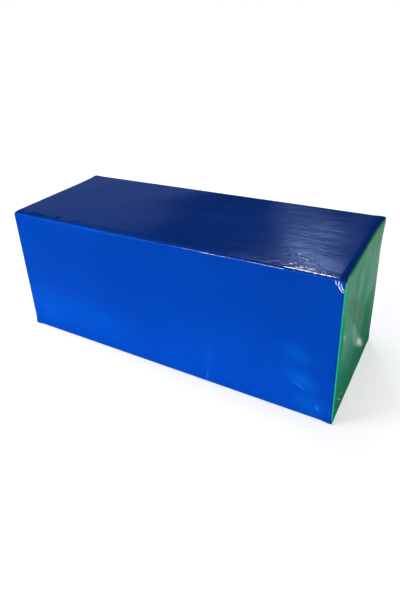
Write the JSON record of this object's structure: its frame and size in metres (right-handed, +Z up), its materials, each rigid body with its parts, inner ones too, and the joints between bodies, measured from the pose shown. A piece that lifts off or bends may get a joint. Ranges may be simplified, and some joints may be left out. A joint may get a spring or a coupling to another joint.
{
  "type": "rectangular foam block",
  "caption": "Long rectangular gym block of laminated foam in a sewn, coated-fabric cover with contrast ends and a zip along the back.",
  "frame": {"origin": "on the floor, under the middle of the block", "axes": "+X along the block towards the end where the zip is closed, +Y from the plain front towards the zip at the back, +Z up"},
  "size_m": [1.5, 0.593, 0.605],
  "materials": {
    "foam": "matte",
    "cover_navy": "satin",
    "cover_blue": "satin",
    "cover_green": "satin",
    "thread_blue": "matte",
    "thread_green": "matte",
    "zip_tape": "matte",
    "zip_coil": "satin",
    "zip_metal": "satin"
  },
  "bodies": {
    "block": {"foam_base_slab": "foam", "foam_middle_slab": "foam", "foam_top_slab": "foam", "cover_top_panel": "cover_navy", "cover_base_panel": "cover_blue", "cover_front_panel": "cover_blue", "cover_rear_upper_panel": "cover_blue", "cover_rear_lower_panel": "cover_blue", "zip_left_end_tab": "cover_blue", "zip_right_end_tab": "cover_blue", "cover_left_end_panel": "cover_green", "cover_right_end_panel": "cover_green", "top_seam_thread": "thread_blue", "base_seam_thread": "thread_blue", "zip_upper_topstitch": "thread_blue", "zip_lower_topstitch": "thread_blue", "front_left_seam_thread": "thread_green", "front_right_seam_thread": "thread_green", "rear_left_seam_thread": "thread_green", "rear_right_seam_thread": "thread_green", "zip_upper_tape": "zip_tape", "zip_lower_tape": "zip_tape", "zip_upper_coil": "zip_coil", "zip_lower_coil": "zip_coil", "zip_left_stop": "zip_metal", "zip_right_stop": "zip_metal"},
    "slider": {"zip_slider": "zip_metal"},
    "pull": {"zip_pull": "zip_metal"}
  },
  "joints": [
    {"name": "zip_slider_travel", "type": "slide", "parent": "block", "child": "slider", "axis": [-1, 0, 0], "range_m": [0, 1.3728]},
    {"name": "zip_pull_turn", "type": "hinge", "parent": "slider", "child": "pull", "pos_m": [0.6864, 0.2951, 0.07], "axis": [0, 0, -1], "range_deg": [0, 180]}
  ]
}
